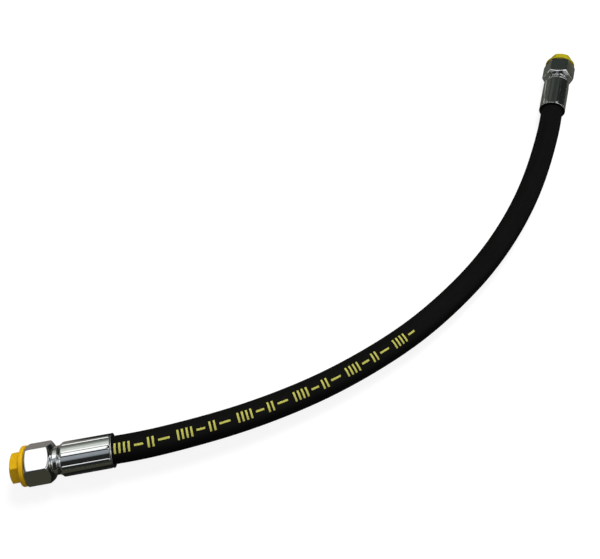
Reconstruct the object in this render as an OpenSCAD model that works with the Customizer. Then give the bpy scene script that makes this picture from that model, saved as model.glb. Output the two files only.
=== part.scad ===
// Hydraulic hose assembly: a one-wire-braid rubber hose with a crimped swivel fitting
// at each end, end A at -X and end B at +X. Millimetres.
// The hose lies on z = 0 and bends in plan, with its outer curve towards -Y.
// Each fitting is drawn along its own +Z from the mouth of its ferrule outwards,
// and is then laid on the hose's end.

/* [Hose] */
// Outside diameter of the cover
hose_od = 20.4; // [19:0.1:22]
// Diameter over the wire braid
braid_od = 17.2; // [16.4:0.1:18]
// Thickness of the wire braid
braid_wall = 0.7; // [0.5:0.05:0.9]
// Bore of the hose
hose_bore = 12.7; // [12.3:0.1:13.5]
// Length of hose held inside each ferrule
hose_insert = 33; // [30:0.5:38]
// Sides of the hose's section
hose_sides = 12; // [8:2:12]

/* [Ferrule] */
// Wall of the crimped sleeve
ferrule_wall = 2; // [1.6:0.1:2.6]
// Length of the taper at the nut's end
ferrule_taper_len = 3; // [2:0.25:4]
// Wall of the ferrule at the small end of the taper
ferrule_tip_wall = 1.25; // [1:0.05:1.6]
// Raised ridges left between the crimping dies
crimp_ridges = 8; // [6:2:10]
// Width of a crimp ridge
ridge_w = 1.2; // [0.8:0.1:1.6]
// Height of a crimp ridge
ridge_h = 0.35; // [0.2:0.05:0.5]
// Gripping teeth inside the sleeve
tooth_count = 5; // [3:1:6]
// Height of a gripping tooth
tooth_h = 0.8; // [0.4:0.1:1]

/* [Stem] */
// Diameter of the stem's body under the nut
stem_d = 18.2; // [17.6:0.1:18.4]
// Bore of the stem
stem_bore = 9.2; // [8:0.1:9.6]
// Diameter of the groove that the ferrule locks into
lock_d = 16; // [15:0.1:16.6]
// Length of the locking groove
lock_len = 3.2; // [2.6:0.1:4]
// Length of the collar that the hose end meets
collar_len = 2; // [1.5:0.1:3]
// Height of a barb on the tail
barb_h = 0.4; // [0.2:0.05:0.6]
// Barbs on the tail
barb_count = 6; // [4:1:7]
// Axial length of the cone nose
nose_len = 5.2; // [4.4:0.1:5.4]
// Section of the cone seal
seal_section = 1.6; // [1.4:0.05:1.8]

/* [Swivel nut] */
// Across the nut's flats
nut_af = 27; // [26:0.5:30]
// Length of the nut from tail to front face
nut_len = 23.2; // [22.8:0.1:26]
// Diameter of the nut's round tail
nut_tail_d = 20.6; // [20.4:0.1:22]
// Length of the nut's round tail
nut_tail_len = 3.2; // [2.4:0.1:4]
// Section of the thrust wire
wire_d = 1.8; // [1.4:0.1:2]
// Hole in one flat that the thrust wire is fed through
feed_hole_d = 2.4; // [2:0.1:2.6]

/* [Thread] */
// Major diameter of the pipe thread
thread_major = 20.955; // [20.8:0.005:21.1]
// Minor diameter of the pipe thread
thread_minor = 18.631; // [18.5:0.001:18.8]
// Pitch of the pipe thread
pitch = 1.814; // [1.4:0.001:2.2]

/* [Plug] */
// Diameter of the plug's flange
flange_d = 28.8; // [28:0.1:31]
// Thickness of the flange
flange_t = 3; // [2.4:0.1:3.6]
// Across the flats of the plug's head
head_af = 21; // [19:0.5:24]
// Length of the plug's head
head_len = 7; // [5.4:0.1:9]
// Length of the threaded shank
shank_len = 7.5; // [6:0.1:7.8]
// Wall between the shank's thread and its hollow
shank_wall = 1.2; // [1:0.1:1.6]
// Thickness of the closed end
end_wall = 2; // [1.5:0.1:3]

/* [Rest position] */
// Turn of nut A from flats level
nut_a_turn = 0; // [-30:1:30]
// Turn of nut B from flats level
nut_b_turn = -18; // [-30:1:30]
// Turn of plug A's head from flats level
plug_a_turn = 14; // [-30:1:30]
// Turn of plug B's head from flats level
plug_b_turn = -12; // [-30:1:30]

/* [Hidden] */
$fn = 96;

bond_gap = 0.05;        // between the bonded layers of the hose
slip = 0.05;            // radial running clearance of everything that turns
face_gap = 0.4;         // axial gap between ferrule and nut

hose_r = hose_od / 2;
stem_r = stem_d / 2;
lock_r = lock_d / 2;
minor_r = thread_minor / 2;
major_r = thread_major / 2;
flange_r = flange_d / 2;
hex_corner = 1 / cos(30);          // corner radius of a hexagon of unit flat radius
nut_corner_r = nut_af / 2 * hex_corner;

// Stations along a fitting, from the ferrule's mouth
ferrule_bore_r = hose_r + slip;
ferrule_r = ferrule_bore_r + ferrule_wall;
lock_start = hose_insert + collar_len;
lock_end = lock_start + lock_len;
ferrule_end = lock_end + 0.8;
taper_start = ferrule_end - ferrule_taper_len;
nut_start = ferrule_end + face_gap;
hex_start = nut_start + nut_tail_len;
nut_front = nut_start + nut_len;
wire_at = hex_start + 3.4;
wire_r = wire_d / 2;
nose_step = 0.5;                   // shoulder between the stem's body and its cone
nose_start = nut_front - shank_len - nose_len - 0.4;
nose_r = minor_r - 0.7;
nose_tip_r = nose_r - nose_len * tan(30);
seal_at = nose_start + 1.9;
seal_r = nose_r - (seal_at - nose_start) * tan(30) - seal_section / 2 + 0.33;

// Nut
nut_bore_r = stem_r + slip;
relief_start = nose_start - 1.3;
relief_len = 2;
thread_start = relief_start + relief_len;
mouth_r = major_r + 0.2;
mouth_chamfer = mouth_r - minor_r;

// Plug
shank_r = minor_r - 0.116;         // the shank slides inside the crests of the nut's thread
shank_thread_depth = 0.8;
hollow_r = shank_r - shank_thread_depth - shank_wall;
head_start = nut_front + flange_t;
head_end = head_start + head_len;
flange_round = 0.6;

// Height of a fitting's axis: it lies on the plug's flange or on the nut's lowest corner
function rest_h(turn) = max(flange_r, nut_corner_r * cos(30 - abs(turn)));
axis_h_a = rest_h(nut_a_turn);
axis_h_b = rest_h(nut_b_turn);

// Centre line of the free hose, from ferrule mouth A to ferrule mouth B
route = [
    [-258.3, -20, axis_h_a], [-244.3, -28, axis_h_a], [-214, -43.1, 13.7],
    [-178, -58.8, 12.6], [-140, -72.5, 11.4], [-102, -83.3, 10.5], [-62, -91.3, hose_r],
    [-16, -96.6, hose_r], [32, -96.6, hose_r], [69, -93.3, hose_r], [108, -86, 10.6],
    [146, -75.1, 11.8], [184, -60.1, 13.3], [220, -42.3, 14.6], [240.3, -31, axis_h_b],
    [258.3, -20, axis_h_b]
];

function unit(v) = v / norm(v);
route_last = len(route) - 1;
out_a = unit(route[0] - route[1]);
out_b = unit(route[route_last] - route[route_last - 1]);
// The hose runs on, straight, to its cut ends inside the ferrules
path = concat([route[0] + hose_insert * out_a], route, [route[route_last] + hose_insert * out_b]);

// Tube swept along the path: one ring of outer and one of inner points at each point of it
function tangent(i) = unit((i < len(path) - 1 ? unit(path[i + 1] - path[i]) : [0, 0, 0])
                           + (i > 0 ? unit(path[i] - path[i - 1]) : [0, 0, 0]));
function ring(i, r) =
    let (t = tangent(i), side = unit(cross([0, 0, 1], t)), up = cross(t, side))
    [for (k = [0:hose_sides - 1])
        let (a = 360 * k / hose_sides) path[i] + r * (cos(a) * side + sin(a) * up)];

module tube(outer_r, inner_r) {
    n = hose_sides;
    m = len(path);
    points = concat([for (i = [0:m - 1]) each ring(i, outer_r)],
                    [for (i = [0:m - 1]) each ring(i, inner_r)]);
    function outer(i, k) = i * n + k % n;
    function inner(i, k) = m * n + outer(i, k);
    walls = [for (i = [0:m - 2], k = [0:n - 1]) each [
        [outer(i, k), outer(i + 1, k), outer(i + 1, k + 1)],
        [outer(i, k), outer(i + 1, k + 1), outer(i, k + 1)],
        [inner(i, k), inner(i + 1, k + 1), inner(i + 1, k)],
        [inner(i, k), inner(i, k + 1), inner(i + 1, k + 1)]]];
    ends = [for (k = [0:n - 1]) each [
        [outer(0, k), outer(0, k + 1), inner(0, k + 1)],
        [outer(0, k), inner(0, k + 1), inner(0, k)],
        [outer(m - 1, k), inner(m - 1, k + 1), outer(m - 1, k + 1)],
        [outer(m - 1, k), inner(m - 1, k), inner(m - 1, k + 1)]]];
    polyhedron(points, concat(walls, ends));
}

// Lays a fitting's own +Z along the end of the hose; its -X then points up
module at_end(at, out) {
    translate(at) rotate([0, 0, atan2(out[1], out[0])]) rotate([0, 90, 0]) children();
}
module at_a() { at_end(route[0], out_a) children(); }
module at_b() { at_end(route[route_last], out_b) children(); }

module black_rubber() { color([0.06, 0.06, 0.07]) children(); }
module zinc_steel() { color([0.75, 0.76, 0.74]) children(); }
module yellow_plastic() { color([0.92, 0.70, 0.08]) children(); }

module hose_cover() { black_rubber() tube(hose_r, braid_od / 2); }
module wire_braid() {
    zinc_steel() tube(braid_od / 2 - bond_gap, braid_od / 2 - braid_wall);
}
module hose_liner() { black_rubber() tube(braid_od / 2 - braid_wall - bond_gap, hose_bore / 2); }

// Crimped sleeve: toothed bore over the hose, inward lip in the stem's groove
module ferrule() {
    tooth_pitch = hose_insert / (tooth_count + 1);
    lip_start = lock_start + slip;
    lip_end = lock_end - slip;
    lip_r = lock_r + slip;
    mouth_round = 0.5;
    teeth = [for (i = [tooth_count:-1:1]) each [
        [ferrule_bore_r, tooth_pitch * i + tooth_h],
        [ferrule_bore_r - tooth_h, tooth_pitch * i],
        [ferrule_bore_r, tooth_pitch * i - tooth_h]]];
    zinc_steel() {
        rotate_extrude() polygon(concat([
            [ferrule_bore_r + mouth_round, 0], [ferrule_r - mouth_round, 0],
            [ferrule_r, mouth_round], [ferrule_r, taper_start],
            [stem_r + ferrule_tip_wall, ferrule_end], [stem_r + slip, ferrule_end],
            [stem_r + slip, lip_end], [lip_r, lip_end], [lip_r, lip_start],
            [ferrule_bore_r, lip_start]], teeth, [[ferrule_bore_r, mouth_round]]));
        crimp_ridge_set();
    }
}

// Ridges stand proud of the sleeve, clear of its mouth and of its taper
module crimp_ridge_set() {
    first = 2.5;
    length = taper_start - 1.5 - first;
    translate([0, 0, first]) difference() {
        intersection() {
            cylinder(r = ferrule_r + ridge_h, h = length);
            for (k = [0:crimp_ridges / 2 - 1]) rotate(360 / crimp_ridges * k)
                translate([-2 * ferrule_r, -ridge_w / 2, 0])
                    cube([4 * ferrule_r, ridge_w, length]);
        }
        translate([0, 0, -1]) cylinder(r = ferrule_r - ferrule_wall / 4, h = length + 2);
    }
}

// Hose tail: barbed in the liner, grooved for the ferrule and the thrust wire, cone nosed
module stem() {
    tail_start = 2;
    tail_r = hose_bore / 2;
    barb_pitch = (hose_insert - tail_start) / (barb_count + 1);
    seal_depth = seal_r - seal_section / 2 - slip;
    seal_half = seal_section / 2 + slip;
    barbs = [for (i = [1:barb_count]) each [
        [tail_r, tail_start + barb_pitch * i - 1.2],
        [tail_r + barb_h, tail_start + barb_pitch * i],
        [tail_r, tail_start + barb_pitch * i]]];
    zinc_steel() difference() {
        rotate_extrude() polygon(concat(
            [[stem_bore / 2, tail_start], [tail_r - 0.6, tail_start], [tail_r, tail_start + 0.6]],
            barbs,
            [[tail_r, hose_insert], [stem_r, hose_insert], [stem_r, lock_start],
             [lock_r, lock_start], [lock_r, lock_end], [stem_r, lock_end],
             [stem_r, nose_start - nose_step], [nose_r, nose_start - nose_step],
             [nose_r, nose_start], [nose_tip_r, nose_start + nose_len],
             [stem_bore / 2, nose_start + nose_len]]));
        wire_groove();
        rotate_extrude() translate([seal_depth, seal_at - seal_half])
            square([nose_r, 2 * seal_half]);
    }
}

// Round-bottomed groove shared by stem and nut
module wire_groove() {
    rotate_extrude() translate([nut_bore_r, wire_at]) circle(r = wire_r + slip);
}

module cone_seal() {
    black_rubber() rotate_extrude() translate([seal_r, seal_at]) circle(d = seal_section);
}

// Hexagon nut: corners trimmed a little in front and much behind, round tail, thread
// behind the front face
module swivel_nut(turn) {
    rear_len = 3.4;
    rear_r = nut_tail_d / 2 + 0.6;
    chamfer_r = nut_af / 2 - 0.6;
    chamfer_len = (nut_corner_r - chamfer_r) * tan(30);
    thread_len = nut_front - mouth_chamfer - thread_start;
    turns = floor(thread_len / pitch);
    root_flat = 0.15;
    groove_half = (major_r - minor_r) * tan(27.5) + root_flat / 2;
    grooves = [for (i = [0:turns - 1]) let (at = thread_start + pitch * (i + 0.5)) each [
        [minor_r, at - groove_half], [major_r, at - root_flat / 2],
        [major_r, at + root_flat / 2], [minor_r, at + groove_half]]];
    zinc_steel() difference() {
        union() {
            intersection() {
                rotate(30 + turn) translate([0, 0, hex_start])
                    hexagon(nut_af, nut_front - hex_start);
                trimming_ball(hex_start, rear_r, hex_start + rear_len, nut_corner_r);
                trimming_ball(nut_front, chamfer_r, nut_front - chamfer_len, nut_corner_r);
            }
            translate([0, 0, nut_start])
                cylinder(d = nut_tail_d, h = nut_tail_len + rear_len / 2);
        }
        rotate_extrude() polygon(concat([
            [0, nut_start - 1], [nut_bore_r, nut_start - 1], [nut_bore_r, relief_start],
            [major_r + slip, relief_start], [major_r + slip, thread_start],
            [minor_r, thread_start]], grooves, [
            [minor_r, nut_front - mouth_chamfer], [mouth_r + 1, nut_front + 1],
            [0, nut_front + 1]]));
        wire_groove();
        rotate(turn) translate([0, 0, wire_at]) rotate([0, 90, 0])
            cylinder(d = feed_hole_d, h = nut_af);
    }
}

// Hexagonal bar along +Z, of the given size across flats, corner on +X
module hexagon(across_flats, length) {
    cylinder(r = across_flats / 2 * hex_corner, h = length, $fn = 6);
}

// Ball that trims the corners of a hexagonal bar: its surface passes through the circle
// of radius r1 at height z1 and the circle of radius r2 at height z2
module trimming_ball(z1, r1, z2, r2) {
    centre = (z2 * z2 + r2 * r2 - z1 * z1 - r1 * r1) / (2 * (z2 - z1));
    translate([0, 0, centre]) sphere(r = norm([z1 - centre, r1]));
}

// Thrust wire: almost a full turn, its ends apart at the feed hole
module thrust_wire(turn) {
    wire_gap = 14;
    zinc_steel() rotate(turn + wire_gap / 2) rotate_extrude(angle = 360 - wire_gap)
        translate([nut_bore_r, wire_at]) circle(r = wire_r);
}

// Moulded plug: hollow grooved shank, flange with rounded rim, hexagon head
module plug(turn) {
    shank_start = nut_front - shank_len;
    lead = 0.8;
    head_corner_r = head_af / 2 * hex_corner;
    chamfer_r = head_af / 2 - 0.2;
    chamfer_len = (head_corner_r - chamfer_r) * tan(30);
    turns = floor((shank_len - lead - 0.6) / pitch);
    grooves = [for (i = [turns - 1:-1:0]) let (at = shank_start + lead + pitch * (i + 0.5)) each [
        [shank_r, at + 0.45], [shank_r - shank_thread_depth, at + 0.1],
        [shank_r - shank_thread_depth, at - 0.1], [shank_r, at - 0.45]]];
    yellow_plastic() difference() {
        union() {
            rotate_extrude() polygon(concat(
                [[0, shank_start], [0, head_start], [shank_r, head_start]],
                grooves,
                [[shank_r, shank_start + lead], [shank_r - lead, shank_start]]));
            flange();
            intersection() {
                rotate(30 + turn) translate([0, 0, nut_front + flange_round])
                    hexagon(head_af, head_end - nut_front - flange_round);
                trimming_ball(head_end, chamfer_r, head_end - chamfer_len, head_corner_r);
            }
        }
        translate([0, 0, shank_start - 1])
            cylinder(r = hollow_r, h = head_end - end_wall - shank_start + 1);
    }
}

module flange() {
    rotate_extrude() {
        translate([0, nut_front]) square([flange_r - flange_round, flange_t]);
        translate([0, nut_front + flange_round])
            square([flange_r, flange_t - 2 * flange_round]);
        for (z = [flange_round, flange_t - flange_round])
            translate([flange_r - flange_round, nut_front + z]) circle(r = flange_round);
    }
}

module ferrule_a() { at_a() ferrule(); }
module stem_a() { at_a() stem(); }
module cone_seal_a() { at_a() cone_seal(); }
module swivel_nut_a() { at_a() swivel_nut(nut_a_turn); }
module thrust_wire_a() { at_a() thrust_wire(nut_a_turn); }
module plug_a() { at_a() plug(plug_a_turn); }
module ferrule_b() { at_b() ferrule(); }
module stem_b() { at_b() stem(); }
module cone_seal_b() { at_b() cone_seal(); }
module swivel_nut_b() { at_b() swivel_nut(nut_b_turn); }
module thrust_wire_b() { at_b() thrust_wire(nut_b_turn); }
module plug_b() { at_b() plug(plug_b_turn); }

hose_cover();
wire_braid();
hose_liner();
ferrule_a();
stem_a();
cone_seal_a();
swivel_nut_a();
thrust_wire_a();
plug_a();
ferrule_b();
stem_b();
cone_seal_b();
swivel_nut_b();
thrust_wire_b();
plug_b();
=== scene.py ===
"""Looks of the hydraulic hose assembly, laid round its packed construction.

The hose is made in metres where it lies. A fitting's pieces are made in millimetres about
+Z, which runs from the ferrule's mouth outwards, and are then laid on the hose's end."""
import math

import bmesh
import bpy
import numpy as np
from mathutils import Matrix, Vector


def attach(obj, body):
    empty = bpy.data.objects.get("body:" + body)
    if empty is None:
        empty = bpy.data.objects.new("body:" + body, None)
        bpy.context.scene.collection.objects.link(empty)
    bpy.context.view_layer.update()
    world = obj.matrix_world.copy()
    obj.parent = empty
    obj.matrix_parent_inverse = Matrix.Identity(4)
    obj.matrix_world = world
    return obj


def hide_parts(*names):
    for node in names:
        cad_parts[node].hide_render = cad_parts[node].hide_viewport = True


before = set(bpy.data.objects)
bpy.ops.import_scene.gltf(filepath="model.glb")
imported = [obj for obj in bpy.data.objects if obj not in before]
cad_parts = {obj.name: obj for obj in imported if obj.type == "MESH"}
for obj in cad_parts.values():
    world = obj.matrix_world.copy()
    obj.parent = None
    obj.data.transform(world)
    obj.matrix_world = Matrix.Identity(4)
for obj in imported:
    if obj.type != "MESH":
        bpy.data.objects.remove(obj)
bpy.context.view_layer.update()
scene = bpy.context.scene
scene.view_settings.view_transform = "Standard"

MM = 0.001
UP = Vector((0, 0, 1))
COS_30 = math.cos(math.radians(30))
TAN_30 = math.tan(math.radians(30))

# Camera: its place in metres, its heading, tilt and roll in degrees, its lens in millimetres
# and its upward shift as a share of the picture's longer side
CAMERA_AT = (-0.2347, -0.1814, 0.5455)
CAMERA_TURNS = (-43.126, 31.295, 3.433)
LENS = 40.73
SHIFT = -0.12

# Strength of the white world as a light, and glow of the floor where it is seen
WORLD_LIGHT = 0.15
FLOOR_GLOW = 0.87

# Tent: its radius and its foot's height in metres, its own colour, and its panels as azimuth,
# elevation, half width and softness in degrees, and colour
TENT_RADIUS = 1.8
TENT_FOOT = 0.01
TENT_TONE = (0.020, 0.021, 0.021)
TENT_PANELS = (
    (118, 62, 12, 5, (1.5, 1.5, 1.5)), (92, 48, 8, 6, (0.85, 0.87, 0.83)),
    (88, 32, 9, 8, (0.50, 0.52, 0.48)), (84, 15, 7, 7, (0.20, 0.21, 0.195)),
    (172, 69, 6, 20, (0.36, 0.39, 0.43)), (60, 64, 8, 5, (1.8, 1.8, 1.8)),
    (330, 62, 8, 6, (1.3, 1.3, 1.3)), (336, 34, 5, 3, (2.2, 2.3, 2.5)),
    (318, 12, 8, 5, (0.7, 0.7, 0.7)), (36, 40, 14, 8, (0.043, 0.050, 0.045)),
    (200, 25, 6, 6, (0.16, 0.18, 0.175)), (66, 18, 12, 12, (0.075, 0.08, 0.075)),
    (270, 35, 22, 12, (0.35, 0.35, 0.35)), (160, 25, 18, 10, (0.30, 0.30, 0.30)),
    (262, 58, 15, 8, (1.8, 1.8, 1.8)), (304, 32, 8, 4, (2.0, 2.0, 2.0)),
    (124, 16, 7, 4, (1.9, 2.0, 1.9)))

# Ground cloth, which only metal shows, a painted reflection of a dark ground: its height in
# metres, its own colour, and its patches of painted shade and painted light as centre, inner
# and outer radius in metres, and colour
CLOTH_HEIGHT = 0.0002
CLOTH_TONE = (0.056, 0.056, 0.040)
CLOTH_SHADE_AND_LIGHT_PATCHES = (
    ((-0.28, 0.115, 0), 0.085, 0.105, (0.25, 0.23, 0.215)),
    ((-0.235, -0.055, 0), 0.05, 0.075, (0.008, 0.012, 0.011)),
    ((-0.293, -0.030, 0), 0.016, 0.028, (0.009, 0.011, 0.010)),
    ((-0.232, 0.032, 0), 0.030, 0.045, (0.012, 0.014, 0.017)),
    ((0.40, 0.02, 0), 0.10, 0.30, (0.105, 0.11, 0.095)),
    ((0.286, 0.041, 0), 0.007, 0.012, (0.45, 0.47, 0.45)),
    ((0.23, 0.125, 0), 0.045, 0.065, (1.2, 1.28, 1.2)),
    ((0.262, 0.078, 0), 0.014, 0.022, (0.9, 0.94, 0.9)),
    ((0.243, -0.037, 0), 0.022, 0.04, (0.005, 0.007, 0.007)))

# Hose, in metres. INSERT is how far each end reaches into its ferrule
HOSE_R = 0.0102
COVER_WALL = 0.0016
BRAID_R = 0.00855
BRAID_WALL = 0.00065
LINER_R = 0.00785
LINER_WALL = 0.0015
INSERT = 0.033
AXIS_A = 0.0144
AXIS_B = 0.0152478
ROUTE = [
    (-0.2583, -0.020, AXIS_A), (-0.2443, -0.028, AXIS_A), (-0.214, -0.0431, 0.0137),
    (-0.178, -0.0588, 0.0126), (-0.140, -0.0725, 0.0114), (-0.102, -0.0833, 0.0105),
    (-0.062, -0.0913, HOSE_R), (-0.016, -0.0966, HOSE_R), (0.032, -0.0966, HOSE_R),
    (0.069, -0.0933, HOSE_R), (0.108, -0.086, 0.0106), (0.146, -0.0751, 0.0118),
    (0.184, -0.0601, 0.0133), (0.220, -0.0423, 0.0146), (0.2403, -0.031, AXIS_B),
    (0.2583, -0.020, AXIS_B)]
ROUTE_STEP = 0.002

# Marks printed along the hose: start, length and half height in millimetres, in one repeat.
# MARKS_END is where they end, in metres along the free hose, and MARKS_TURN is how far round
# from the top they lie, in turns
MARKS = (
    (1.5, 1.5, 3.8), (4.9, 1.5, 3.8), (8.3, 1.5, 3.8), (11.7, 1.5, 3.8), (16.2, 6.5, 0.75),
    (25.7, 1.5, 3.8), (29.1, 1.5, 3.8), (33.6, 8.5, 0.75))
MARK_REPEAT = 46.0
MARKS_END = 0.2545
MARKS_TURN = -8 / 360

# Fitting, in millimetres. A name with START, END, FRONT or AT is a height from the ferrule's
# mouth
HOSE_END = INSERT / MM
FERRULE_BORE_R = 10.25
FERRULE_R = 12.25
FERRULE_END = 39.0
TAPER_START = 36.0
RIDGES = 8
STEM_R = 9.1
LOCK_R = 8.0
LOCK_START = 35.0
LOCK_END = 38.2
NUT_AF = 27.0
NUT_START = 39.4
HEX_START = 42.6
NUT_FRONT = 62.6
NUT_BORE_R = 9.15
WIRE_AT = 46.0
GROOVE_R = 0.95
RELIEF_START = 48.2
THREAD_START = 50.2
MINOR_R = 9.3155
MAJOR_R = 10.4775
PITCH = 1.814
NOSE_START = 49.5
NOSE_LEN = 5.2
SEAL_AT = 51.4
PLUG_AF = 21.0
SHANK_START = 55.1
SHANK_R = 9.2
HOLLOW_R = 7.2
FLANGE_R = 14.4
HEAD_START = 65.6
HEAD_END = 72.6

# How far back an ordinary edge is rounded, and one of the stem, in millimetres
EDGE = 0.2
STEM_EDGE = 0.12
# An edge rounded back by this much or more is rounded finely
FINE_EDGE = 0.3
# Edges that turn by more than this, in degrees, stay sharp
CREASE = 38


# ---------------------------------------------------------------- objects and materials

def new_object(name, bm):
    mesh = bpy.data.meshes.new(name)
    bm.to_mesh(mesh)
    bm.free()
    piece = bpy.data.objects.new(name, mesh)
    scene.collection.objects.link(piece)
    return piece


def set_inputs(tree, made, inputs):
    """Sets a node's inputs to plain values, or links them to other nodes' outputs."""
    for socket, value in inputs.items():
        if isinstance(value, bpy.types.NodeSocket):
            tree.links.new(value, made.inputs[socket])
        else:
            made.inputs[socket].default_value = value


def node(tree, kind, inputs=None, **settings):
    made = tree.nodes.new(kind)
    for name, value in settings.items():
        setattr(made, name, value)
    set_inputs(tree, made, inputs or {})
    return made


def calc(tree, operation, *values):
    return node(tree, "ShaderNodeMath", dict(enumerate(values)), operation=operation).outputs[0]


def vector_calc(tree, operation, *values):
    made = node(tree, "ShaderNodeVectorMath", dict(enumerate(values)), operation=operation)
    return made.outputs["Value" if operation in ("DOT_PRODUCT", "DISTANCE") else "Vector"]


def noise(tree, vector, scale, detail=2.0, roughness=0.5):
    return node(tree, "ShaderNodeTexNoise", {"Vector": vector, "Scale": scale, "Detail": detail,
                                             "Roughness": roughness}).outputs["Fac"]


def ranged(tree, value, low, high, start=0.0, end=1.0, interpolation="LINEAR"):
    """From low to high as the value goes from start to end."""
    return node(tree, "ShaderNodeMapRange", {0: value, 1: start, 2: end, 3: low, 4: high},
                interpolation_type=interpolation).outputs[0]


def painted(tree, share, under, over):
    """From the colour under to the colour over as the share goes from 0 to 1."""
    tones = {}
    for socket, tone in ((6, under), (7, over)):
        tones[socket] = tone if isinstance(tone, bpy.types.NodeSocket) else (*tone, 1)
    return node(tree, "ShaderNodeMix", {"Factor": share, **tones}, data_type="RGBA").outputs[2]


def bumped(tree, height, strength, distance):
    """The surface's normal, where a height of 1 stands `distance` metres out of it."""
    return node(tree, "ShaderNodeBump", {"Height": height, "Strength": strength,
                                         "Distance": distance}).outputs[0]


def new_material(name):
    finish = bpy.data.materials.new(name)
    finish.use_nodes = True
    tree = finish.node_tree
    return finish, tree, tree.nodes["Principled BSDF"]


def glow_material(name):
    """A material that only glows, with the input for its colour."""
    finish = bpy.data.materials.new(name)
    finish.use_nodes = True
    tree = finish.node_tree
    tree.nodes.clear()
    glow = node(tree, "ShaderNodeEmission", {"Strength": 1.0})
    node(tree, "ShaderNodeOutputMaterial", {"Surface": glow.outputs[0]})
    return finish, tree, glow.inputs["Color"]


# ---------------------------------------------------------------- camera, floor and light

def stand_camera():
    data = bpy.data.cameras.new("camera")
    data.sensor_width = 36
    data.lens = LENS
    data.shift_y = SHIFT
    camera = bpy.data.objects.new("camera", data)
    scene.collection.objects.link(camera)
    heading, tilt, roll = (math.radians(angle) for angle in CAMERA_TURNS)
    camera.matrix_world = (Matrix.Translation(CAMERA_AT)
                           @ Matrix.Rotation(heading, 4, "Z") @ Matrix.Rotation(tilt, 4, "X")
                           @ Matrix.Rotation(roll, 4, "Z"))
    scene.camera = camera


def seen_directly(tree):
    """1 for what the camera sees straight, mirrored or through glass, and 0 for the rest."""
    rays = node(tree, "ShaderNodeLightPath").outputs
    seen = calc(tree, "MAXIMUM", rays["Is Camera Ray"], rays["Is Glossy Ray"])
    return calc(tree, "MAXIMUM", seen, rays["Is Transmission Ray"])


def light_world():
    """A white world that shows at full strength and lights the object weakly."""
    world = bpy.data.worlds.new("studio")
    scene.world = world
    world.use_nodes = True
    tree = world.node_tree
    strength = calc(tree, "MULTIPLY_ADD", seen_directly(tree), 1 - WORLD_LIGHT, WORLD_LIGHT)
    set_inputs(tree, tree.nodes["Background"], {"Color": (1, 1, 1, 1), "Strength": strength})


def hang_lamp(name, at, size, power):
    """A square lamp aimed at the origin. Metal shows the tent's panels and not the lamp."""
    data = bpy.data.lights.new(name, "AREA")
    data.shape = "SQUARE"
    data.size = size
    data.energy = power
    lamp = bpy.data.objects.new(name, data)
    lamp.location = at
    lamp.rotation_euler = (-Vector(at)).to_track_quat("-Z", "Y").to_euler()
    lamp.visible_glossy = False
    scene.collection.objects.link(lamp)


def lay_floor():
    """Plain pale floor that keeps the object's shadow."""
    bm = bmesh.new()
    bmesh.ops.create_grid(bm, x_segments=1, y_segments=1, size=6)
    floor = new_object("floor", bm)
    floor.location.z = -0.0001
    finish, tree, shader = new_material("white_paper")
    set_inputs(tree, shader, {
        "Base Color": (0.24, 0.24, 0.24, 1),
        "Roughness": 0.9,
        "Specular IOR Level": 0.1,
        "Emission Color": (1, 1, 1, 1),
        "Emission Strength": calc(tree, "MULTIPLY", seen_directly(tree), FLOOR_GLOW)})
    floor.data.materials.append(finish)


def only_gloss_shows(item):
    for rays in ("camera", "diffuse", "transmission", "volume_scatter", "shadow"):
        setattr(item, "visible_" + rays, False)


def raise_tent():
    """A dim tent over the object with soft bright panels, which metal and gloss show."""
    bm = bmesh.new()
    bmesh.ops.create_uvsphere(bm, u_segments=64, v_segments=32, radius=TENT_RADIUS)
    bmesh.ops.bisect_plane(bm, geom=bm.verts[:] + bm.edges[:] + bm.faces[:],
                           plane_co=(0, 0, TENT_FOOT), plane_no=(0, 0, 1), clear_inner=True)
    tent = new_object("tent", bm)
    finish, tree, colour = glow_material("tent_cloth")
    place = node(tree, "ShaderNodeTexCoord").outputs["Object"]
    aim = vector_calc(tree, "NORMALIZE", place)
    light = TENT_TONE
    for azimuth, elevation, half, soft, tone in TENT_PANELS:
        turn, rise = math.radians(azimuth), math.radians(elevation)
        centre = (math.cos(turn) * math.cos(rise), math.sin(turn) * math.cos(rise),
                  math.sin(rise))
        panel = ranged(tree, vector_calc(tree, "DOT_PRODUCT", aim, centre), 0.0, 1.0,
                       math.cos(math.radians(half + soft)), math.cos(math.radians(half)),
                       "SMOOTHSTEP")
        lit = node(tree, "ShaderNodeVectorMath", {0: tone, "Scale": panel}, operation="SCALE")
        light = vector_calc(tree, "MAXIMUM", light, lit.outputs[0])
    tree.links.new(light, colour)
    tent.data.materials.append(finish)
    only_gloss_shows(tent)


def lay_ground_cloth():
    """What metal shows of the ground, as a painted reflection: dark olive, with darker patches of
    painted shade and paler, glowing patches of painted light round the fittings."""
    bm = bmesh.new()
    bmesh.ops.create_circle(bm, cap_ends=True, segments=64, radius=TENT_RADIUS)
    bmesh.ops.translate(bm, vec=(0, 0, CLOTH_HEIGHT), verts=bm.verts)
    cloth = new_object("ground_cloth", bm)
    finish, tree, colour = glow_material("ground_cloth_painted_reflection")
    place = node(tree, "ShaderNodeTexCoord").outputs["Object"]
    tone = CLOTH_TONE
    # Each patch paints shade or light into what metal reflects of the ground
    for centre, inner, outer, paint in CLOTH_SHADE_AND_LIGHT_PATCHES:
        away = vector_calc(tree, "DISTANCE", place, centre)
        patch = ranged(tree, away, 1.0, 0.0, inner, outer, "SMOOTHSTEP")
        tone = painted(tree, patch, tone, paint)
    tree.links.new(tone, colour)
    cloth.data.materials.append(finish)
    only_gloss_shows(cloth)


# ---------------------------------------------------------------- hose

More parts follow.
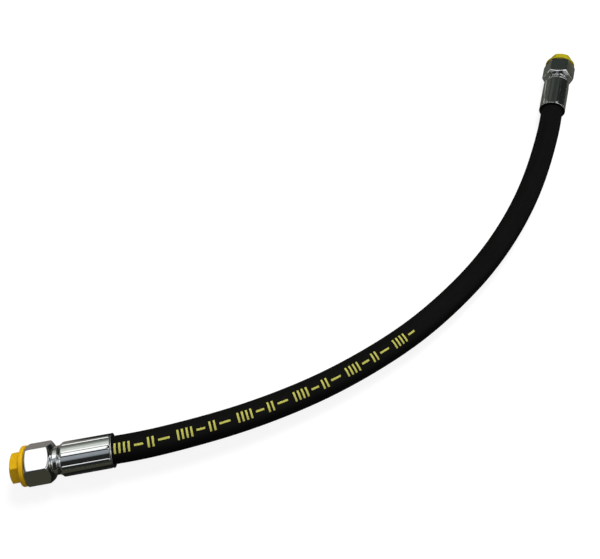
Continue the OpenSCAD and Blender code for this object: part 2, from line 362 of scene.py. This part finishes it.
def smooth_line(knots, spacing):
    """Points on the smooth curve through the knots. It starts and ends straight on."""
    knots = np.array(knots)
    gaps = np.linalg.norm(np.diff(knots, axis=0), axis=1)
    count = len(knots)
    system = np.eye(count)
    slopes = np.zeros_like(knots)
    slopes[0] = (knots[1] - knots[0]) / gaps[0]
    slopes[-1] = (knots[-1] - knots[-2]) / gaps[-1]
    # The bend is the same on both sides of each inner knot
    for i in range(1, count - 1):
        before, after = gaps[i - 1], gaps[i]
        system[i, i - 1:i + 2] = after, 2 * (before + after), before
        slopes[i] = 3 * (after / before * (knots[i] - knots[i - 1])
                         + before / after * (knots[i + 1] - knots[i]))
    slopes = np.linalg.solve(system, slopes)
    line = []
    for i, gap in enumerate(gaps):
        for t in np.arange(0, 1, 1 / math.ceil(gap / spacing)):
            line.append((1 + 2 * t) * (1 - t) ** 2 * knots[i]
                        + t * (1 - t) ** 2 * gap * slopes[i]
                        + t * t * (3 - 2 * t) * knots[i + 1]
                        - t * t * (1 - t) * gap * slopes[i + 1])
    line.append(knots[-1])
    return [Vector((x, y, max(z, HOSE_R))) for x, y, z in line]


def hose_line():
    """The hose's centre line from cut end to cut end, and how far along the free hose each
    of its points is."""
    free = smooth_line(ROUTE, ROUTE_STEP)
    inner = 8
    first = free[0] + (free[0] - free[1]).normalized() * INSERT
    last = free[-1] + (free[-1] - free[-2]).normalized() * INSERT
    line = ([first.lerp(free[0], i / inner) for i in range(inner)] + free
            + [free[-1].lerp(last, i / inner) for i in range(1, inner + 1)])
    run = [-INSERT]
    for a, b in zip(line, line[1:]):
        run.append(run[-1] + (b - a).length)
    return line, run


def cross_frames(line):
    """A matrix at each point of the line: +X to the left, +Y up and +Z along it."""
    frames = []
    for i, at in enumerate(line):
        along = (line[min(i + 1, len(line) - 1)] - line[max(i - 1, 0)]).normalized()
        left = UP.cross(along).normalized()
        axes = Matrix((left, along.cross(left), along)).transposed().to_4x4()
        frames.append(Matrix.Translation(at) @ axes)
    return frames


def next_ring(bm, ring):
    """Extrudes a ring of edges where it is. Gives the new ring and its vertices."""
    made = bmesh.ops.extrude_edge_only(bm, edges=ring)["geom"]
    verts = [g for g in made if isinstance(g, bmesh.types.BMVert)]
    fresh = set(verts)
    edges = [g for g in made if isinstance(g, bmesh.types.BMEdge) and fresh.issuperset(g.verts)]
    return edges, verts


def sweep_tube(name, line, run, radius, wall, sides):
    """A tube along the line. Its UV map holds metres along the free hose and the turn
    from the top, as a share of a full turn to the left."""
    frames = cross_frames(line)
    bm = bmesh.new()
    length = bm.verts.layers.float.new("run")
    turn = bm.verts.layers.float.new("turn")
    bmesh.ops.create_circle(bm, segments=sides, radius=radius)
    for v in bm.verts:
        v[length] = run[0]
        v[turn] = math.atan2(v.co.x, v.co.y) / (2 * math.pi)
    bmesh.ops.transform(bm, matrix=frames[0], verts=bm.verts)
    ring = bm.edges[:]
    for i in range(1, len(line)):
        ring, verts = next_ring(bm, ring)
        bmesh.ops.transform(bm, matrix=frames[i] @ frames[i - 1].inverted(), verts=verts)
        for v in verts:
            v[length] = run[i]
    uv = bm.loops.layers.uv.new("hose")
    for face in bm.faces:
        turns = [loop.vert[turn] for loop in face.loops]
        # A face that crosses the underside has its turns on one side of it
        wrap = 1.0 if max(turns) - min(turns) > 0.5 else 0.0
        for loop, share in zip(face.loops, turns):
            loop[uv].uv = (loop.vert[length], share + (wrap if share < 0 else 0))
    bmesh.ops.recalc_face_normals(bm, faces=bm.faces)
    tube = new_object(name, bm)
    shell = tube.modifiers.new("wall", "SOLIDIFY")
    shell.thickness = wall
    shell.offset = -1
    tube.data.polygons.foreach_set("use_smooth", [True] * len(tube.data.polygons))
    return tube


def hose_coordinates(tree):
    """Metres along the free hose, and turns from the top."""
    sheet = node(tree, "ShaderNodeUVMap", uv_map="hose").outputs[0]
    split = node(tree, "ShaderNodeSeparateXYZ", {0: sheet}).outputs
    return split[0], split[1]


def hose_vector(tree, along, around, stretch_along=1.0, stretch_around=1.0):
    """The hose's surface as a flat sheet, in metres, stretched each way."""
    girth = 2 * math.pi * HOSE_R * stretch_around
    return node(tree, "ShaderNodeCombineXYZ",
                {0: calc(tree, "MULTIPLY", along, stretch_along),
                 1: calc(tree, "MULTIPLY", around, girth)}).outputs[0]


def printed_marks(tree, along, around):
    """1 where the ink is. Its edges are a little ragged."""
    ragged = noise(tree, hose_vector(tree, along, around), 900.0)
    nudge = calc(tree, "MULTIPLY_ADD", ragged, 0.5, -0.25)
    place = calc(tree, "FLOORED_MODULO", calc(tree, "MULTIPLY_ADD", along, 1 / MM, nudge),
                 MARK_REPEAT)
    height = calc(tree, "MULTIPLY_ADD", calc(tree, "SUBTRACT", around, MARKS_TURN),
                  2 * math.pi * HOSE_R / MM, nudge)
    ink = 0.0
    for start, length, half_height in MARKS:
        within = calc(tree, "COMPARE", place, start + length / 2, length / 2)
        level = calc(tree, "COMPARE", height, 0.0, half_height)
        ink = calc(tree, "MULTIPLY_ADD", within, level, ink)
    return calc(tree, "MULTIPLY", ink, calc(tree, "LESS_THAN", along, MARKS_END))


def cover_rubber():
    """Black satin rubber with faint streaks along it, and a line of plain yellow marks."""
    finish, tree, shader = new_material("black_hose_rubber")
    along, around = hose_coordinates(tree)
    grain = noise(tree, hose_vector(tree, along, around), 1400.0, 4.0, 0.6)
    streaks = noise(tree, hose_vector(tree, along, around, 0.04), 900.0, 3.0)
    bloom = noise(tree, hose_vector(tree, along, around, 0.5), 60.0, 5.0, 0.65)
    rubber = painted(tree, bloom, (0.0033, 0.0033, 0.0032), (0.0075, 0.0075, 0.0070))
    ink = printed_marks(tree, along, around)
    cover = calc(tree, "MULTIPLY", ink, ranged(tree, grain, 0.72, 1.0, 0.3, 0.5))
    relief = calc(tree, "MULTIPLY_ADD", streaks, 0.6, grain)
    raised = calc(tree, "MULTIPLY_ADD", ink, 0.8, relief)
    set_inputs(tree, shader, {
        "Base Color": painted(tree, cover, rubber, (0.62, 0.60, 0.13)),
        "Roughness": ranged(tree, streaks, 0.40, 0.56),
        "Specular IOR Level": 0.04,
        "Normal": bumped(tree, raised, 0.5, 0.00004)})
    return finish


def braid_wire():
    """Brass-coated wire, woven over and under at the braid's angle."""
    finish, tree, shader = new_material("woven_braid_wire")
    along, around = hose_coordinates(tree)
    flat = hose_vector(tree, along, around, 1.0, BRAID_R / HOSE_R)
    bands = []
    for angle in (35.3, -35.3):
        turned = node(tree, "ShaderNodeMapping",
                      {"Vector": flat, "Rotation": (0, 0, math.radians(angle))}).outputs[0]
        bands.append(node(tree, "ShaderNodeTexWave",
                          {"Vector": turned, "Scale": 560.0, "Distortion": 0.4},
                          wave_type="BANDS", bands_direction="Y").outputs["Fac"])
    weave = node(tree, "ShaderNodeTexChecker", {"Vector": flat, "Scale": 300.0}).outputs["Fac"]
    wires = node(tree, "ShaderNodeMix", {"Factor": weave, 2: bands[0], 3: bands[1]}).outputs[0]
    set_inputs(tree, shader, {
        "Base Color": painted(tree, wires, (0.16, 0.13, 0.08), (0.66, 0.58, 0.40)),
        "Metallic": 1.0,
        "Roughness": 0.35,
        "Normal": bumped(tree, wires, 0.8, 0.0002)})
    return finish


def liner_rubber():
    """Smooth black inner tube, with the faint die lines of its extrusion."""
    finish, tree, shader = new_material("black_liner_rubber")
    along, around = hose_coordinates(tree)
    lines = noise(tree, hose_vector(tree, along, around, 0.02), 1600.0)
    set_inputs(tree, shader, {
        "Base Color": painted(tree, lines, (0.008, 0.008, 0.008), (0.02, 0.02, 0.02)),
        "Roughness": 0.38,
        "Normal": bumped(tree, lines, 0.4, 0.00003)})
    return finish


def lay_hose():
    line, run = hose_line()
    layers = [
        ("hose", HOSE_R, COVER_WALL, 64, "hose_cover", "hose_rubber", cover_rubber()),
        ("braid", BRAID_R, BRAID_WALL, 48, "wire_braid", "braid_wire", braid_wire()),
        ("inner_tube", LINER_R, LINER_WALL, 48, "hose_liner", "liner_rubber", liner_rubber())]
    for name, radius, wall, sides, cad_node, slot, finish in layers:
        tube = sweep_tube(name, line, run, radius, wall, sides)
        tube.data.materials.append(finish)
        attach(tube, "hose")
        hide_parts(cad_node)


# ---------------------------------------------------------------- rings of the fittings

def plain(radius, height, ease=0.0):
    """A round ring at that height. Its edge is rounded back by ease."""
    return (lambda angle: (radius, height)), ease


def soft_step(share):
    return share * share * (3 - 2 * share)


def lofted(rings, sides, lobes=1, gather=0.0, closed=True):
    """A skin through rings about +Z. Each ring is a function from the angle to a radius and
    a height, with how far back its edge is rounded. The ring's points gather at angle 0 and
    at each lobe's turn from it. A closed skin ends at its first ring, and an open one has
    both its ends filled."""
    bm = bmesh.new()
    order = bm.verts.layers.int.new("order")
    bmesh.ops.create_circle(bm, segments=sides, radius=1)

    def settle(verts, number):
        shape = rings[number][0]
        for v in verts:
            angle = math.atan2(v.co.y, v.co.x)
            radius, height = shape(angle)
            v.co = (radius * math.cos(angle), radius * math.sin(angle), height)
            v[order] = number

    for v in bm.verts:
        angle = math.atan2(v.co.y, v.co.x)
        angle -= gather * math.sin(lobes * angle) / lobes
        v.co = (math.cos(angle), math.sin(angle), 0)
    settle(bm.verts, 0)
    last = first = bm.edges[:]
    for number in range(1, len(rings)):
        last, verts = next_ring(bm, last)
        settle(verts, number)
    if closed:
        bmesh.ops.bridge_loops(bm, edges=first + last)
    else:
        bmesh.ops.holes_fill(bm, edges=first + last)
    for ease in sorted({ring[1] for ring in rings} - {0.0}):
        eased = [e for e in bm.edges if e.verts[0][order] == e.verts[1][order]
                 and rings[e.verts[0][order]][1] == ease]
        bmesh.ops.bevel(bm, geom=eased, offset=ease, offset_type="OFFSET",
                        segments=2 if ease < FINE_EDGE else 4, profile=0.5, affect="EDGES",
                        material=-1)
    bmesh.ops.recalc_face_normals(bm, faces=bm.faces)
    # A deep hollow can leave the whole skin facing inwards
    if bm.calc_volume(signed=True) < 0:
        bmesh.ops.reverse_faces(bm, faces=bm.faces)
    return bm


def hexagon_r(across_flats, corner_r):
    """Radius of a hexagon with corners at 0, 60, 120 ... degrees, each one rounded."""
    flat = across_flats / 2
    centre = (flat - corner_r) / COS_30
    reach = math.atan2(corner_r / 2, centre + corner_r * COS_30)

    def radius(angle):
        off = math.radians(abs((math.degrees(angle) + 30) % 60 - 30))
        if off < reach:
            rounding = math.sqrt(corner_r ** 2 - (centre * math.sin(off)) ** 2)
            return centre * math.cos(off) + rounding
        return flat / math.cos(math.radians(30) - off)
    return radius


def square_to_x(bm):
    """Turns a hexagon's flats square to the fitting's own +X."""
    bmesh.ops.rotate(bm, cent=(0, 0, 0), matrix=Matrix.Rotation(math.radians(30), 3, "Z"),
                     verts=bm.verts)
    return bm


def trimming_ball(z1, r1, z2, r2, side):
    """A ball about the fitting's axis through two circles of it, which trims a hexagon's
    corners, as a function from radius to height. side is 1 where it bulges along +Z."""
    centre = (z2 * z2 + r2 * r2 - z1 * z1 - r1 * r1) / (2 * (z2 - z1))
    radius = math.hypot(z1 - centre, r1)
    return lambda r: centre + side * math.sqrt(radius ** 2 - r * r)


def front_ball(across_flats, end, chamfer_r):
    """The ball that trims a hexagon's far end, about as a 30 degree chamfer would."""
    corner_r = across_flats / 2 / COS_30
    chamfer_len = (corner_r - chamfer_r) * TAN_30
    return trimming_ball(end, chamfer_r, end - chamfer_len, corner_r, 1)


def trimmed_rings(ball, inner_r, hexagon, steps, outward, ease):
    """Rings on the ball between the circle of radius inner_r and the hexagon's flats, with
    the edge there rounded back by ease."""
    shares = [i / steps for i in range(1, steps + 1)]
    if not outward:
        shares = shares[::-1]

    def ring(share):
        def shape(angle):
            radius = inner_r + share * (hexagon(angle) - inner_r)
            return radius, ball(radius)
        return shape
    return [(ring(share), ease if share == 1 else 0.0) for share in shares]


def between(first, last, steps):
    """Rings spaced evenly between two rings, without them."""
    def ring(share):
        def shape(angle):
            (r1, z1), (r2, z2) = first(angle), last(angle)
            return r1 + share * (r2 - r1), z1 + share * (z2 - z1)
        return shape
    return [(ring(i / steps), 0.0) for i in range(1, steps)]


def thread_rings(start, end, crest_r, depth):
    """Rings of a rounded right-hand thread cut `depth` into the wall from radius crest_r.
    It runs out over half a turn at each end. A negative depth cuts towards the axis."""
    rings_per_turn = 9
    run_out = PITCH / 2
    count = max(2, round(abs(end - start) / PITCH * rings_per_turn))

    def ring(height):
        def shape(angle):
            phase = height / PITCH - angle / (2 * math.pi)
            wave = soft_step(0.5 - 0.5 * math.cos(2 * math.pi * phase))
            ends = min(1.0, abs(height - start) / run_out, abs(end - height) / run_out)
            return crest_r + depth * wave * ends, height
        return shape
    return [(ring(start + (end - start) * i / count), 0.0) for i in range(count + 1)]


def groove_rings(radius, depth, way):
    """Rings of the thrust wire's rounded groove, cut `depth` into the wall from that radius.
    They go along +Z where way is 1, and back where it is -1. A negative depth cuts towards
    the axis."""
    steps = 8
    rings = []
    for i in range(steps + 1):
        turn = math.pi * i / steps
        rings.append(plain(radius + depth * math.sin(turn),
                           WIRE_AT - way * GROOVE_R * math.cos(turn)))
    return rings


# ---------------------------------------------------------------- pieces of a fitting

def swivel_nut():
    """Hexagon nut with a round tail, the thrust wire's groove and an internal thread."""
    flats = hexagon_r(NUT_AF, 1.0)
    corner_r = NUT_AF / 2 / COS_30
    tail_r = 10.3
    rear_r = tail_r + 0.6
    rear_len = 3.4
    chamfer_r = NUT_AF / 2 - 0.6
    mouth_r = MAJOR_R + 0.2
    mouth_end = NUT_FRONT - (mouth_r - MINOR_R)
    relief_r = MAJOR_R + 0.05
    rear = trimming_ball(HEX_START, rear_r, HEX_START + rear_len, corner_r, -1)
    front = front_ball(NUT_AF, NUT_FRONT, chamfer_r)
    behind = trimmed_rings(rear, rear_r, flats, 4, True, 0.6)
    ahead = trimmed_rings(front, chamfer_r, flats, 2, False, 0.25)
    rings = [
        plain(NUT_BORE_R, NUT_START, EDGE), plain(tail_r, NUT_START, 0.35),
        plain(tail_r, HEX_START), plain(rear_r, HEX_START, EDGE),
        *behind, *between(behind[-1][0], ahead[0][0], 4), *ahead,
        plain(chamfer_r, NUT_FRONT, EDGE), plain(mouth_r, NUT_FRONT, EDGE),
        *thread_rings(mouth_end, THREAD_START, MINOR_R, MAJOR_R - MINOR_R),
        plain(relief_r, THREAD_START), plain(relief_r, RELIEF_START),
        plain(NUT_BORE_R, RELIEF_START, EDGE), *groove_rings(NUT_BORE_R, GROOVE_R, -1)]
    return square_to_x(lofted(rings, 192, lobes=6, gather=0.8))


def feed_hole():
    """Drill for the thrust wire's hole in one flat, with its countersink."""
    drill_r, sink_r = 1.2, 1.75
    flat = NUT_AF / 2
    drill = lofted([plain(drill_r, 9.5), plain(drill_r, flat - 0.3), plain(sink_r, flat + 0.25),
                    plain(sink_r, flat + 2)], 32, closed=False)
    bmesh.ops.rotate(drill, cent=(0, 0, 0), matrix=Matrix.Rotation(math.radians(90), 3, "Y"),
                     verts=drill.verts)
    bmesh.ops.translate(drill, vec=(0, 0, WIRE_AT), verts=drill.verts)
    return drill


def ferrule():
    """Crimped sleeve. Each die leaves a slightly flat face, with a ridge between it and the
    next one. The mouth keeps its first width, and the far end tapers to the stem."""
    lip, lip_len, lip_ring = 0.33, 2.2, 0.8
    ridge_h, ridge_half, flank = 0.44, 1.6, 0.55
    face_dip, face_crown = 0.12, 0.1
    step = 360 / RIDGES
    crimp_start, crimp_end, fade = 2.4, TAPER_START - 0.6, 1.3

    def crimped(height):
        share = soft_step(min(1.0, max(0.0, (height - crimp_start + fade) / fade),
                              max(0.0, (crimp_end + fade - height) / fade)))

        def shape(angle):
            off = (math.degrees(angle) + step / 2) % step - step / 2
            arc = abs(math.radians(off)) * FERRULE_R
            face = face_crown * (2 * abs(off) / step) ** 2 - face_dip
            ridge = ridge_h * soft_step(min(1.0, max(0.0, (ridge_half - arc) / flank)))
            return FERRULE_R + share * (face + ridge), height
        return shape, 0.0

    body = [crimp_start + (crimp_end - crimp_start) * i / 14 for i in range(15)]
    outer = [plain(FERRULE_BORE_R + 0.25, 0, 0.18), plain(FERRULE_R + lip, 0, 0.45),
             plain(FERRULE_R + lip * math.cos(math.pi / 2 * lip_ring / lip_len) ** 2, lip_ring)]
    outer += [crimped(height) for height in (1.2, 1.6, 2.0, *body, 35.7, TAPER_START, 36.3)]
    # The ferrule's inner lip stands a little clear of the stem's lock groove
    gap = 0.05
    lock_r, lock_start, lock_end = LOCK_R + gap, LOCK_START + gap, LOCK_END - gap
    taper = [plain(FERRULE_R - 0.45, TAPER_START + 0.75), plain(STEM_R + 1.25, FERRULE_END, EDGE),
             plain(NUT_BORE_R, FERRULE_END, EDGE), plain(NUT_BORE_R, lock_end),
             plain(lock_r, lock_end), plain(lock_r, lock_start),
             plain(FERRULE_BORE_R, lock_start)]
    tooth_h = 0.8
    teeth = []
    for tooth in range(5, 0, -1):
        at = HOSE_END / 6 * tooth
        teeth += [plain(FERRULE_BORE_R, at + tooth_h), plain(FERRULE_BORE_R - tooth_h, at),
                  plain(FERRULE_BORE_R, at - tooth_h)]
    return lofted(outer + taper + teeth, 256, lobes=RIDGES, gather=0.75)


def stem():
    """Hose tail: barbs in the liner, grooves for ferrule and thrust wire, cone nose."""
    bore_r = 4.6
    tail_r, tail_start, tail_chamfer = 6.35, 2, 0.6
    barb_h, barb_len = 0.4, 1.2
    nose_r = MINOR_R - 0.7
    neck, nose_end = NOSE_START - 0.5, NOSE_START + NOSE_LEN
    seal_r, seal_half = 6.2, 0.85
    seal_start, seal_end = SEAL_AT - seal_half, SEAL_AT + seal_half
    groove_h = GROOVE_R - 0.05
    barbs = []
    for barb in range(1, 7):
        at = tail_start + (HOSE_END - tail_start) / 7 * barb
        barbs += [plain(tail_r, at - barb_len), plain(tail_r + barb_h, at), plain(tail_r, at)]

    def on_cone(height):
        return plain(nose_r - (height - NOSE_START) * TAN_30, height, STEM_EDGE)

    rings = [
        plain(bore_r, tail_start, STEM_EDGE), plain(tail_r - tail_chamfer, tail_start),
        plain(tail_r, tail_start + tail_chamfer), *barbs,
        plain(tail_r, HOSE_END), plain(STEM_R, HOSE_END, STEM_EDGE),
        plain(STEM_R, LOCK_START, STEM_EDGE), plain(LOCK_R, LOCK_START),
        plain(LOCK_R, LOCK_END), plain(STEM_R, LOCK_END, STEM_EDGE),
        *groove_rings(STEM_R, -groove_h, 1),
        plain(STEM_R, neck, STEM_EDGE), plain(nose_r, neck), plain(nose_r, NOSE_START),
        on_cone(seal_start), plain(seal_r, seal_start), plain(seal_r, seal_end),
        on_cone(seal_end), on_cone(nose_end), plain(bore_r, nose_end, STEM_EDGE)]
    return lofted(rings, 96)


def plug():
    """Moulded plug: hollow threaded shank, flange with a round rim, hexagon head with a
    shallow dish."""
    flats = hexagon_r(PLUG_AF, 0.8)
    chamfer_r = PLUG_AF / 2 - 0.2
    front = front_ball(PLUG_AF, HEAD_END, chamfer_r)
    hollow_end = HEAD_END - 2
    thread_h = 0.8
    rim_r = 0.6
    dish_r, dish_end = 6.2, HEAD_END - 0.5
    rim = []
    for i in range(7):
        turn = math.pi / 2 * i / 6
        rim.append((FLANGE_R - rim_r + rim_r * math.sin(turn), rim_r * (1 - math.cos(turn))))
    flange = ([plain(r, NUT_FRONT + z) for r, z in rim]
              + [plain(r, HEAD_START - z) for r, z in reversed(rim)])

    def foot(spread, height):
        return (lambda angle: (flats(angle) + spread, height)), 0.0

    rings = [
        plain(HOLLOW_R - 0.6, hollow_end), plain(HOLLOW_R - 0.15, hollow_end - 0.15),
        plain(HOLLOW_R, hollow_end - 0.6), plain(HOLLOW_R, SHANK_START, EDGE),
        plain(SHANK_R - thread_h, SHANK_START, EDGE),
        *thread_rings(SHANK_START + 0.8, NUT_FRONT - 0.6, SHANK_R, -thread_h),
        plain(SHANK_R, NUT_FRONT), *flange,
        foot(0.5, HEAD_START), foot(0.15, HEAD_START + 0.15), foot(0, HEAD_START + 0.5),
        *trimmed_rings(front, chamfer_r, flats, 1, False, 0.18),
        plain(chamfer_r, HEAD_END, 0.15), plain(dish_r, HEAD_END, EDGE),
        plain(dish_r - 0.4, dish_end), plain(1.3, dish_end), plain(1.0, HEAD_END - 0.2, 0.1)]
    return square_to_x(lofted(rings, 192, lobes=6, gather=0.7, closed=False))


# ---------------------------------------------------------------- finishes of the fittings

def fitting_place(tree):
    """A point's place on its fitting, in millimetres, from the piece's own attribute."""
    return node(tree, "ShaderNodeAttribute", attribute_name="place").outputs["Vector"]


def zinc_plate(name, line_scale, line_height, dull=0.0):
    """Bright zinc plate over machined steel. line_scale stretches the tool's lines."""
    finish, tree, shader = new_material(name)
    place = fitting_place(tree)
    cloud = noise(tree, place, 0.22, 4.0, 0.55)
    lines = noise(tree, vector_calc(tree, "MULTIPLY", place, line_scale), 1.0, 4.0, 0.62)
    frost = noise(tree, place, 6.0, 3.0)
    rough = calc(tree, "MULTIPLY_ADD", lines, 0.06, 0.03 + dull)
    set_inputs(tree, shader, {
        "Base Color": painted(tree, cloud, (0.61, 0.66, 0.61), (0.77, 0.75, 0.78)),
        "Metallic": 1.0,
        "Roughness": calc(tree, "MULTIPLY_ADD", frost, 0.03, rough),
        "Normal": bumped(tree, lines, 0.5, line_height)})
    return finish


def moulded_plastic(name, deep, bright):
    """Moulded plastic, a little cloudy between two tones, with a fine mould grain."""
    finish, tree, shader = new_material(name)
    place = fitting_place(tree)
    cloud = noise(tree, place, 0.3, 3.0)
    grain = noise(tree, place, 4.5, 3.0)
    set_inputs(tree, shader, {
        "Base Color": painted(tree, cloud, deep, bright),
        "Roughness": ranged(tree, grain, 0.30, 0.45),
        "Specular IOR Level": 0.35,
        "Subsurface Weight": 0.15,
        "Subsurface Radius": (1.0, 0.5, 0.1),
        "Subsurface Scale": 0.002,
        "Normal": bumped(tree, grain, 0.4, 0.00004)})
    return finish


def small_part_finish(name, tones, metallic, rough, scale):
    """Finish of the wire rings and seals, which keep their constructed shape."""
    finish, tree, shader = new_material(name)
    grain = noise(tree, node(tree, "ShaderNodeTexCoord").outputs["Object"], scale, 4.0)
    set_inputs(tree, shader, {
        "Base Color": painted(tree, grain, *tones),
        "Metallic": metallic,
        "Roughness": ranged(tree, grain, rough - 0.06, rough + 0.06),
        "Normal": bumped(tree, grain, 0.3, 0.00003)})
    return finish


# ---------------------------------------------------------------- assembly

def drilled(piece, drill):
    """Takes the drill's shape out of the piece's mesh."""
    cut = piece.modifiers.new("drill", "BOOLEAN")
    cut.object = drill
    cut.solver = "EXACT"
    seen = bpy.context.evaluated_depsgraph_get()
    mesh = bpy.data.meshes.new_from_object(piece.evaluated_get(seen))
    piece.modifiers.clear()
    piece.data = mesh
    bpy.data.objects.remove(drill)


def smooth(piece):
    piece.data.polygons.foreach_set("use_smooth", [True] * len(piece.data.polygons))
    piece.data.set_sharp_from_angle(angle=math.radians(CREASE))


def lay_on_fitting(piece, mouth, out, turn):
    """Notes each point's place on the fitting, then lays the piece on the hose's end."""
    points = np.zeros(len(piece.data.vertices) * 3, np.float32)
    piece.data.vertices.foreach_get("co", points)
    place = piece.data.attributes.new("place", "FLOAT_VECTOR", "POINT")
    place.data.foreach_set("vector", points)
    axes = Matrix((-UP, UP.cross(out), out)).transposed().to_4x4()
    piece.data.transform(Matrix.Translation(mouth) @ axes @ Matrix.Scale(MM, 4)
                         @ Matrix.Rotation(math.radians(turn), 4, "Z"))


def fit_ends():
    turned = (0.06, 0.06, 5.0)
    drawn = (1.6, 1.6, 0.03)
    ferrule_zinc = zinc_plate("zinc_on_ferrule", drawn, 0.00003, 0.02)
    nut_zinc = zinc_plate("zinc_on_nut", drawn, 0.000006)
    stem_zinc = zinc_plate("zinc_on_stem", turned, 0.00002)
    amber = moulded_plastic("moulded_amber_plastic", (0.80, 0.43, 0.001), (0.91, 0.56, 0.002))
    # The lemon plastic's hue is its own, but both its tones are darkened as painted shade
    lemon_darkened_as_shade = moulded_plastic("moulded_lemon_plastic", (0.41, 0.35, 0.006), (0.50, 0.44, 0.012))
    wire = small_part_finish("drawn_spring_wire", ((0.42, 0.42, 0.42), (0.58, 0.57, 0.55)),
                             1.0, 0.3, 900.0)
    nitrile = small_part_finish("nitrile_seal", ((0.008, 0.008, 0.008), (0.02, 0.02, 0.02)),
                                0.0, 0.42, 1500.0)
    # Letter, mouth, next point of the route, turns of nut and plug in degrees, and plastic
    ends = (("a", ROUTE[0], ROUTE[1], 0, 14, amber),
            ("b", ROUTE[-1], ROUTE[-2], -18, -12, lemon_darkened_as_shade))
    for end, mouth, inner, nut_turn, plug_turn, plastic in ends:
        mouth = Vector(mouth)
        out = (mouth - Vector(inner)).normalized()
        pieces = (
            ("crimped_sleeve_", ferrule, 0, "hose", "ferrule_", "ferrule_steel", ferrule_zinc),
            ("hose_tail_", stem, 0, "hose", "stem_", "stem_steel", stem_zinc),
            ("union_nut_", swivel_nut, nut_turn, "nut_" + end, "swivel_nut_", "nut_steel",
             nut_zinc),
            ("end_plug_", plug, plug_turn, "plug_" + end, "plug_", "plug_plastic", plastic))
        for name, build, turn, body, cad_node, slot, finish in pieces:
            piece = new_object(name + end, build())
            if build is swivel_nut:
                drilled(piece, new_object("drill", feed_hole()))
            smooth(piece)
            lay_on_fitting(piece, mouth, out, turn)
            piece.data.materials.clear()
            piece.data.materials.append(finish)
            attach(piece, body)
            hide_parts(cad_node + end)
        for cad_node, finish in (("thrust_wire_", wire), ("cone_seal_", nitrile)):
            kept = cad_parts[cad_node + end]
            kept.data.materials.clear()
            kept.data.materials.append(finish)


stand_camera()
lay_hose()
fit_ends()
light_world()
lay_floor()
raise_tent()
lay_ground_cloth()
hang_lamp("key", (1.81, 1.17, 2.76), 1.6, 115.0)
hang_lamp("fill", (-0.6, -0.9, 1.1), 0.8, 2.0)
